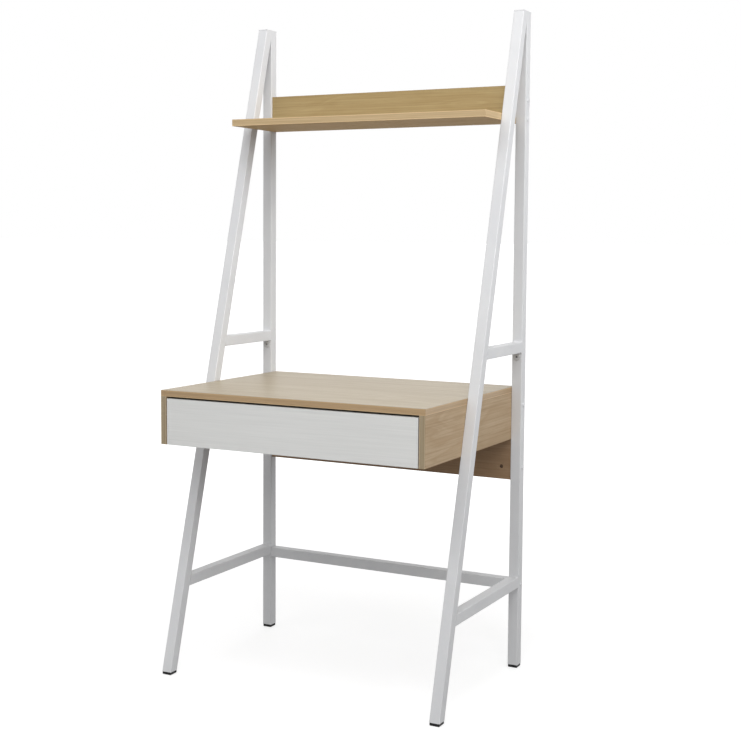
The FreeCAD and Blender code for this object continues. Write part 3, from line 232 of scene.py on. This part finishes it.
def facing_up(shader):
    """Mask of the faces that look up."""
    height = shader.split(shader.add("NewGeometry").outputs["Normal"])[2]
    return shader.math("GREATER_THAN", height, 0.5)


def oak_board(node, thin, grain, offset, finish, face_tone_and_light, upper_sheen_tone, edge_tone_and_light):
    """Light oak laminate: broad figure, long streaks, fine pores and matching edging.
    Each board has tones on its faces, on its upper face and on its edging; they paint sheen
    on the worktop and the shelf's upper face, and shade on the back panel."""
    shader = Shader("oak_" + node)

    def grained(scales):
        return shader.stretched(along_grain(grain, *scales), offset)

    def edged(scales):
        return shader.stretched(along_edges(thin, *scales), offset)

    light, middle, dark = (toned(c, face_tone_and_light) for c in (OAK_LIGHT, OAK_MID, OAK_DARK))
    edge, edge_dark = (toned(c, edge_tone_and_light) for c in (OAK_EDGE, OAK_EDGE_DARK))
    shove = shader.math("MULTIPLY", shader.noise(grained(WARP)), WARP_SHOVE)
    figure_place = shader.vector("ADD", grained(FIGURE), shader.on_all_axes(shove))
    figure = shader.noise(figure_place, scale=1.5, detail=3.0, roughness=0.55,
                          distortion=0.6)
    streaks = shader.noise(grained(STREAKS), detail=4.0, roughness=0.6)
    fine = shader.noise(grained(FINE_LINES))
    pores = shader.spread(shader.noise(grained(PORES), detail=1.0), 0.62, 0.72)
    cloud = shader.noise(shader.stretched(OAK_CLOUD, offset))
    face = shader.layered(light,
                          (shader.spread(figure, 0.36, 0.66), middle),
                          (shader.spread(streaks, 0.42, 0.72, 0.0, 0.66), dark),
                          (shader.vary(fine, 0.0, 0.22), light),
                          (shader.math("MULTIPLY", pores, 0.35), dark),
                          (shader.vary(cloud, 0.0, 0.16), middle))
    # Upper faces multiplied by their own tone; on the shelf this paints the worktop's sheen
    face = shader.blend(facing_up(shader), face, upper_sheen_tone + (1.0,), "MULTIPLY")

    edging, arris, seam, core = board_regions(shader, node, thin)
    tape = shader.noise(edged(TAPE), detail=4.0, roughness=0.6)
    flecks = shader.noise(edged(FLECKS), detail=1.0)
    # Painted highlight: a lighter line along the edging's arrises, patchy along its length
    arris_tint = shader.math("MULTIPLY", arris, shader.vary(cloud, 0.45, 0.85))
    band = shader.layered(edge,
                          (shader.spread(tape, 0.35, 0.7), edge_dark),
                          (shader.vary(flecks, 0.0, 0.25), middle),
                          (arris_tint, toned(OAK_ARRIS_HIGHLIGHT, edge_tone_and_light)))
    colour = shader.layered(face,
                            (shader.math("MULTIPLY", seam, 0.35), toned(OAK_SEAM, face_tone_and_light)),
                            (edging, band),
                            (core, chipboard(shader, offset)))

    relief = shader.math("SUBTRACT", shader.math("MULTIPLY", streaks, 0.5), pores)
    smoothest, gloss = finish
    rough = shader.vary(streaks, smoothest, smoothest + 0.14)
    rough = shader.math("ADD", rough, shader.math("MULTIPLY", core, 0.20))
    return shader.finish(Base_Color=colour, Roughness=rough, Specular_IOR_Level=gloss,
                         Normal=shader.bump(relief, distance=0.00012, strength=0.55))


def white_board(node, thin, grain, offset, light, shade):
    """White melamine with a faint pressed grain, and chipboard in its holes."""
    shader = Shader("white_" + node)
    pressed = shader.noise(shader.stretched(along_grain(grain, *PRESSED_GRAIN), offset),
                           detail=3.0)
    cloud = shader.noise(shader.stretched(WHITE_CLOUD, offset))
    edging, arris, seam, core = board_regions(shader, node, thin)
    # A darker line along the edging's arrises
    arris_tint = shader.math("MULTIPLY", shader.math("MULTIPLY", edging, arris), 0.6)
    line = tuple(channel * 0.8 for channel in shade[:3]) + (1,)
    colour = shader.layered(light,
                            (shader.spread(pressed, 0.3, 0.75), shade),
                            (shader.vary(cloud, 0.0, 0.25), shade),
                            (shader.math("MULTIPLY", seam, 0.35), line),
                            (shader.math("MULTIPLY", edging, 0.3), shade),
                            (arris_tint, line),
                            (core, chipboard(shader, offset)))
    return shader.finish(Base_Color=colour, Roughness=shader.vary(pressed, 0.36, 0.48),
                         Normal=shader.bump(pressed, distance=0.00010, strength=0.5))


def hardboard():
    """Thin board, white on its upper face and brown fibres below and on its edges."""
    shader = Shader("hardboard")
    fibres = shader.noise(shader.stretched((700, 900, 700)), detail=4.0, roughness=0.7)
    dapple = shader.noise(shader.stretched((260, 260, 260)))
    brown = shader.blend(shader.vary(fibres), (0.20, 0.115, 0.062, 1),
                         (0.10, 0.055, 0.030, 1))
    white = shader.blend(shader.vary(dapple), (0.66, 0.655, 0.63, 1),
                         (0.59, 0.585, 0.56, 1))
    return shader.finish(Base_Color=shader.blend(facing_up(shader), brown, white),
                         Roughness=shader.vary(dapple, 0.42, 0.62),
                         Normal=shader.bump(fibres, distance=0.00008, strength=0.6))


# ---------------------------------------------------------------------------------
# Metals, plastics and dowels
# ---------------------------------------------------------------------------------
PAINT_LIGHT = (0.705, 0.710, 0.720, 1)
PAINT_SHADE = (0.655, 0.660, 0.675, 1)


def powder_coat():
    """Satin white powder coat with its fine orange peel."""
    shader = Shader("powder_coat")
    peel = shader.noise(shader.stretched(), scale=620.0)
    grain = shader.noise(shader.stretched(), scale=2400.0, detail=1.0)
    cloud = shader.noise(shader.stretched(), scale=7.0, detail=3.0)
    colour = shader.layered(PAINT_LIGHT, (shader.vary(cloud), PAINT_SHADE),
                            (shader.spread(grain, 0.55, 0.8, 0.0, 0.12), grey(0.55)))
    height = shader.math("ADD", peel, shader.math("MULTIPLY", grain, 0.3))
    return shader.finish(Base_Color=colour, Roughness=shader.vary(peel, 0.42, 0.56),
                         Normal=shader.bump(height, distance=0.00007, strength=0.5))


def zinc_steel():
    """Zinc plate: drawn lines, faint bluish and yellowish patches."""
    shader = Shader("zinc_steel")
    drawn = shader.noise(shader.stretched((1400, 12, 1400)), detail=3.0)
    patch = shader.noise(shader.stretched(), scale=38.0, detail=3.0, roughness=0.6)
    colour = shader.layered((0.34, 0.35, 0.36, 1),
                            (shader.vary(patch), (0.39, 0.37, 0.32, 1)),
                            (shader.spread(drawn, 0.45, 0.75, 0.0, 0.3), grey(0.20)))
    return shader.finish(Base_Color=colour, Roughness=shader.vary(patch, 0.26, 0.40),
                         Normal=shader.bump(drawn, distance=0.00003, strength=0.6),
                         Metallic=1.0)


def ball_steel():
    """Polished bearing balls with a film of grease."""
    shader = Shader("ball_steel")
    film = shader.noise(shader.stretched(), scale=500.0)
    colour = shader.blend(shader.spread(film, 0.4, 0.7), grey(0.52), (0.42, 0.40, 0.35, 1))
    return shader.finish(Base_Color=colour, Roughness=shader.vary(film, 0.08, 0.24),
                         Metallic=1.0)


def moulded_plastic(name, light, shade, sparkle, gloss):
    """Moulded plastic with a spark-eroded texture; light and shade are its two tones, and
    gloss is its specular level."""
    shader = Shader(name)
    texture = shader.noise(shader.stretched(), scale=sparkle, detail=3.0, roughness=0.65)
    cloud = shader.noise(shader.stretched(), scale=60.0)
    colour = shader.layered(light, (shader.vary(cloud), shade),
                            (shader.spread(texture, 0.55, 0.8, 0.0, 0.3), light))
    return shader.finish(Base_Color=colour, Roughness=shader.vary(texture, 0.42, 0.60),
                         Normal=shader.bump(texture, distance=0.00008, strength=0.6),
                         Specular_IOR_Level=gloss)


def dark_steel():
    """Steel of the nuts that sit in the boards' holes, painted dark brown for the shade deep
    in the holes.
    """
    shader = Shader("dark_steel")
    patch = shader.noise(shader.stretched(), scale=300.0, detail=3.0)
    colour = shader.blend(shader.vary(patch), (0.105, 0.062, 0.034, 1),
                          (0.050, 0.028, 0.016, 1))
    return shader.finish(Base_Color=colour, Roughness=shader.vary(patch, 0.45, 0.62),
                         Normal=shader.bump(patch, distance=0.00005, strength=0.5),
                         Metallic=0.6)


def beech():
    """Raw beech dowels with short rays."""
    shader = Shader("beech")
    rays = shader.noise(shader.stretched((500, 60, 500)), detail=3.0)
    cloud = shader.noise(shader.stretched((90, 90, 90)))
    colour = shader.layered((0.58, 0.40, 0.24, 1),
                            (shader.spread(rays, 0.35, 0.7), (0.40, 0.25, 0.135, 1)),
                            (shader.vary(cloud, 0.0, 0.3), (0.62, 0.46, 0.30, 1)))
    return shader.finish(Base_Color=colour, Roughness=0.62,
                         Normal=shader.bump(rays, distance=0.0001, strength=0.5))


# ---------------------------------------------------------------------------------
# Dress the CAD nodes
# ---------------------------------------------------------------------------------
PLAIN = (1, 1, 1)
SIDE_FACE = (0.95, 0.95, 0.95)
SIDE_EDGE = (0.90, 1.05, 1.24)
# Node, axis of its thickness, axis of its grain, start of its pattern, finish, and the
# tones of its faces, of its upper face and of its edging; some tones paint light or shade
OAK_BOARDS = (
    # Worktop: its paler, cooler face tone is a painted sheen
    ("desk_top", "Z", "X", (0.31, 0.12, 0.70), SATIN, (0.818, 0.912, 0.965), PLAIN,
     (1.07, 1.02, 0.93)),
    ("left_box_side", "X", "Y", (1.70, 2.20, 0.30), MATT, SIDE_FACE, PLAIN, SIDE_EDGE),
    ("right_box_side", "X", "Y", (2.60, 0.90, 1.40), MATT, SIDE_FACE, PLAIN, SIDE_EDGE),
    # Back panel: its darker tones are painted shade under the desk box
    ("back_panel", "Y", "X", (0.80, 3.10, 2.30), MATT, (0.70, 0.62, 0.58), PLAIN,
     (0.75, 0.68, 0.65)),
    # Shelf: its upper face tone is the worktop's painted sheen
    ("shelf", "Z", "X", (3.30, 1.20, 0.90), MATT, (1.03, 0.94, 0.73), (0.88, 0.98, 1.27),
     (1.39, 1.50, 1.55)),
    ("shelf_back_lip", "Y", "X", (4.10, 0.50, 1.80), MATT, (0.88, 0.90, 0.70), PLAIN,
     (0.95, 0.95, 0.85)),
)
FRONT_LIGHT = (0.780, 0.782, 0.766, 1)
FRONT_SHADE = (0.718, 0.722, 0.706, 1)
CARCASS_LIGHT = (0.70, 0.70, 0.685, 1)
CARCASS_SHADE = (0.63, 0.63, 0.615, 1)
# Node, axis of its thickness, axis of its grain, start of its pattern, and two tones
WHITE_BOARDS = (
    ("drawer_front", "Y", "X", (0.4, 0.3, 0.1), FRONT_LIGHT, FRONT_SHADE),
    ("drawer_left_side", "X", "Y", (1.1, 0.6, 0.2), CARCASS_LIGHT, CARCASS_SHADE),
    ("drawer_right_side", "X", "Y", (2.3, 1.6, 0.8), CARCASS_LIGHT, CARCASS_SHADE),
    ("drawer_back", "Y", "X", (3.0, 0.2, 1.5), CARCASS_LIGHT, CARCASS_SHADE),
)


def dress(node, material):
    for slot in nodes[node].material_slots:
        slot.material = material


def dress_boards():
    for boards, board in ((OAK_BOARDS, oak_board), (WHITE_BOARDS, white_board)):
        for node, *look in boards:
            dress(node, board(node, *look))
    dress("drawer_bottom", hardboard())


def dress_rest(paint):
    """Every other node by the slot that the record gives it."""
    by_slot = {
        "powder_coat": paint,
        "zinc_steel": zinc_steel(),
        "ball_steel": ball_steel(),
        "foot_plastic": moulded_plastic("foot_plastic", grey(0.014), grey(0.006),
                                        sparkle=1300.0, gloss=0.2),
        "bush_plastic": moulded_plastic("bush_plastic", grey(0.62), grey(0.55),
                                        sparkle=900.0, gloss=0.5),
        "beech": beech(),
    }
    for entry in frame["record"]["subparts"]:
        if entry["material_slot"] in by_slot:
            dress(entry["node"], by_slot[entry["material_slot"]])
    # Painted shade: the nuts are dark brown for the shade in their holes
    dress("barrel_nuts", dark_steel())


# ---------------------------------------------------------------------------------
# Weld beads, painted over with the frames
# ---------------------------------------------------------------------------------
BEAD = 0.0032           # leg of a fillet bead
NOTCH_BEAD = 0.013      # how far the bead runs down the notch between the two legs
BEAD_STATIONS = 29      # rings of points along a bead
BEAD_POINTS = 7         # points across the face of a bead
BEAD_MARGIN = 0.0022    # from the tube's side face to the end of the bead
BEAD_SINK = 0.0002      # depth of the bead's foot in the tubes
BEAD_CROWN = 0.15       # how far the face swells, as a share of the leg
BEAD_END = 0.45         # size of the bead's ends, as a share of the full size
BEAD_RISE = 4.0         # gain of that share over the bead's length
RIPPLE = 0.09           # share by which the crown ripples
RIPPLE_PITCH = 0.0018
SAME_HEIGHT = 1e-4


def end_line(node, end, level):
    """Distance to the wall and height of a strut's top or bottom edge at its front or
    rear end."""
    low, high = (Vector(corner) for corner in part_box(node))
    height = high.z if level > 0 else low.z
    rim = [v.co.y for v in nodes[node].data.vertices if abs(v.co.z - height) < SAME_HEIGHT]
    return (min(rim) if end < 0 else max(rim)), height


def add_bead(shape, x_range, corner, first, second, leg):
    """Rippled bead along X in the corner between two directions (y, z)."""
    points, faces = shape
    start = len(points)
    x_low, x_high = x_range[0] + BEAD_MARGIN, x_range[1] - BEAD_MARGIN
    foot = corner - Vector((first + second)).normalized() * BEAD_SINK
    ring = BEAD_POINTS + 1
    for i in range(BEAD_STATIONS):
        share = i / (BEAD_STATIONS - 1)
        x = x_low + share * (x_high - x_low)
        swell = 1 + RIPPLE * math.cos(2 * math.pi * x / RIPPLE_PITCH)
        taper = min(1.0, BEAD_END + BEAD_RISE * min(share, 1 - share))
        points.append((x, foot.x, foot.y))
        for j in range(BEAD_POINTS):
            t = j / (BEAD_POINTS - 1)
            reach = leg * taper * (1 + BEAD_CROWN * swell * 4 * t * (1 - t))
            spot = foot + (first * (1 - t) + second * t) * reach
            points.append((x, spot.x, spot.y))
    for i in range(BEAD_STATIONS - 1):
        for j in range(ring):
            a, b = start + i * ring + j, start + i * ring + (j + 1) % ring
            faces.append((a, b, b + ring, a + ring))
    faces.append(tuple(start + j for j in reversed(range(ring))))
    faces.append(tuple(start + (BEAD_STATIONS - 1) * ring + j for j in range(ring)))


def weld_side(shape, side):
    """Beads of one side frame: struts to legs, and the notch where the legs part."""
    forward, rearward = Vector((-1, 0)), Vector((1, 0))
    up, down = Vector((0, 1)), Vector((0, -1))
    for strut in ("lower", "upper"):
        node = "%s_%s_strut" % (side, strut)
        low, high = (Vector(corner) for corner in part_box(node))
        x_range = (low.x, high.x)
        top, bottom = Vector(end_line(node, -1, 1)), Vector(end_line(node, -1, -1))
        along_leg = (top - bottom).normalized()
        add_bead(shape, x_range, top, rearward, along_leg, BEAD)
        add_bead(shape, x_range, bottom, -along_leg, rearward, BEAD)
        add_bead(shape, x_range, Vector(end_line(node, 1, 1)), up, forward, BEAD)
        if strut == "lower":    # under the upper strut the wall fixing bush is in the way
            add_bead(shape, x_range, Vector(end_line(node, 1, -1)), forward, down, BEAD)
    rear_low, rear_high = (Vector(corner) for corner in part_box(side + "_rear_leg"))
    # The leaning leg's rear face carried on to the upright leg's front face
    height = bottom.y + (rear_low.y - bottom.x) * along_leg.y / along_leg.x
    add_bead(shape, (rear_low.x, rear_high.x), Vector((rear_low.y, height)),
             -along_leg, down, NOTCH_BEAD)


def add_weld_beads(paint):
    points, faces = [], []
    for side in ("left", "right"):
        weld_side((points, faces), side)
    mesh = bpy.data.meshes.new("weld_beads")
    mesh.from_pydata(points, [], faces)
    mesh.materials.append(paint)
    for polygon in mesh.polygons:
        polygon.use_smooth = len(polygon.vertices) == 4
    beads = bpy.data.objects.new("weld_beads", mesh)
    bpy.context.scene.collection.objects.link(beads)
    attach(beads, "frame_and_boards")


# ---------------------------------------------------------------------------------
# Stage, light and camera
# ---------------------------------------------------------------------------------
FLOOR_SIZE = 400
FLOOR_DROP = 0.0005     # the floor lies this far under the feet
FLOOR_TONE = 0.42       # albedo of the floor for the light that it throws back up
FLOOR_MOTTLE = 0.02     # how far the albedo strays to each side
NEAR_GLOW = 0.70        # what the floor shows round the feet where no lamp reaches it
GLOW_NEAR = 0.9         # radius in metres where the glow starts to rise to plain white
GLOW_FAR = 3.2          # and where it is plain white
SURROUND = 0.50         # strength of the world on the object


def background_rays(tree):
    """1 for the rays that show the plain background: to the camera, off metal or gloss,
    and through glass."""
    path = tree.nodes.new("ShaderNodeLightPath").outputs
    seen = path["Is Camera Ray"]
    for kind in ("Is Glossy Ray", "Is Transmission Ray"):
        either = tree.nodes.new("ShaderNodeMath")
        either.operation = "MAXIMUM"
        tree.links.new(seen, either.inputs[0])
        tree.links.new(path[kind], either.inputs[1])
        seen = either.outputs[0]
    return seen


def make_floor():
    """Plain floor that reads white to the camera and still takes the desk's shadow."""
    bpy.ops.mesh.primitive_plane_add(size=FLOOR_SIZE, location=(0, 0, -FLOOR_DROP))
    floor = bpy.context.object
    floor.name = "floor"
    shader = Shader("floor")
    mottle = shader.noise(shader.stretched(), scale=3.0)
    colour = shader.blend(mottle, grey(FLOOR_TONE - FLOOR_MOTTLE),
                          grey(FLOOR_TONE + FLOOR_MOTTLE))
    radius = shader.add("VectorMath", {"operation": "LENGTH"}, in0=shader.place())
    glow = shader.spread(radius.outputs["Value"], GLOW_NEAR, GLOW_FAR, NEAR_GLOW, 1.0)
    shown = shader.math("MULTIPLY", background_rays(shader.tree), glow)
    shader.finish(Base_Color=colour, Roughness=0.9, Specular_IOR_Level=0.0,
                  Emission_Color=grey(1.0), Emission_Strength=shown)
    floor.data.materials.append(shader.material)


def make_world():
    """Even studio surround: plain level on the object, white to the camera."""
    world = bpy.data.worlds.new("studio")
    bpy.context.scene.world = world
    world.use_nodes = True
    tree = world.node_tree
    background = tree.nodes["Background"]
    background.inputs["Color"].default_value = grey(1.0)
    level = tree.nodes.new("ShaderNodeMapRange")
    level.inputs["To Min"].default_value = SURROUND
    level.inputs["To Max"].default_value = 1.0
    tree.links.new(background_rays(tree), level.inputs["Value"])
    tree.links.new(level.outputs[0], background.inputs["Strength"])


def add_softbox(name, place, target, size, power, spread=180, shines=True):
    """Rectangular lamp; one that doesn't shine makes no highlight on glossy faces."""
    light = bpy.data.lights.new(name, "AREA")
    light.shape = "RECTANGLE"
    light.size, light.size_y = size
    light.energy = power
    light.spread = math.radians(spread)
    holder = bpy.data.objects.new(name, light)
    holder.location = place
    holder.visible_glossy = shines
    aim = Vector(target) - Vector(place)
    holder.rotation_euler = aim.to_track_quat("-Z", "Y").to_euler()
    bpy.context.scene.collection.objects.link(holder)


def make_lights():
    """Soft lamps on the whole desk, and two that reach its upper half first."""
    middle = (0, 0, 0.9)
    add_softbox("front", (2.0, -3.4, 3.0), middle, (2.2, 2.2), 51)
    add_softbox("high", (-1.0, -2.2, 4.2), middle, (2.4, 2.4), 25)
    add_softbox("side", (4.6, -1.2, 3.0), middle, (2.0, 2.0), 21.5)
    add_softbox("back", (-1.6, 3.8, 2.0), middle, (2.2, 2.2), 30, shines=False)
    add_softbox("upper_side", (4.6, 0.0, 2.4), (0.3, 0.1, 1.6), (1.6, 1.6), 3.3, spread=24)
    add_softbox("upper_front", (0.6, -1.2, 3.6), (0, 0.1, 1.2), (1.6, 1.2), 9.5, spread=100)


FOCAL_PIXELS = 1337.8
IMAGE_PIXELS = 741
SENSOR_WIDTH = 36
AXIS_ROW = 342.0            # image row of the optical axis
CAMERA_PLACE = (1.6832, -3.0483, 1.1574)
AZIMUTH = math.radians(27.688)
PITCH = math.radians(-4.542)
ROLL = math.radians(0.385)


def make_camera():
    """Camera at the photograph's viewing angle."""
    forward = Vector((-math.sin(AZIMUTH) * math.cos(PITCH),
                      math.cos(AZIMUTH) * math.cos(PITCH), math.sin(PITCH)))
    right = Vector((math.cos(AZIMUTH), math.sin(AZIMUTH), 0))
    up = right.cross(forward)
    rolled_right = math.cos(ROLL) * right + math.sin(ROLL) * up
    rolled_up = math.cos(ROLL) * up - math.sin(ROLL) * right
    camera = bpy.data.cameras.new("camera")
    camera.sensor_width = SENSOR_WIDTH
    camera.lens = FOCAL_PIXELS / IMAGE_PIXELS * SENSOR_WIDTH
    camera.shift_y = (AXIS_ROW - IMAGE_PIXELS / 2) / IMAGE_PIXELS
    holder = bpy.data.objects.new("camera", camera)
    turn = Matrix((rolled_right, rolled_up, -forward)).transposed().to_4x4()
    holder.matrix_world = Matrix.Translation(CAMERA_PLACE) @ turn
    bpy.context.scene.collection.objects.link(holder)
    bpy.context.scene.camera = holder


dress_boards()
white_paint = powder_coat()
dress_rest(white_paint)
add_weld_beads(white_paint)
make_floor()
make_world()
make_lights()
make_camera()
bpy.context.scene.view_settings.view_transform = "Standard"
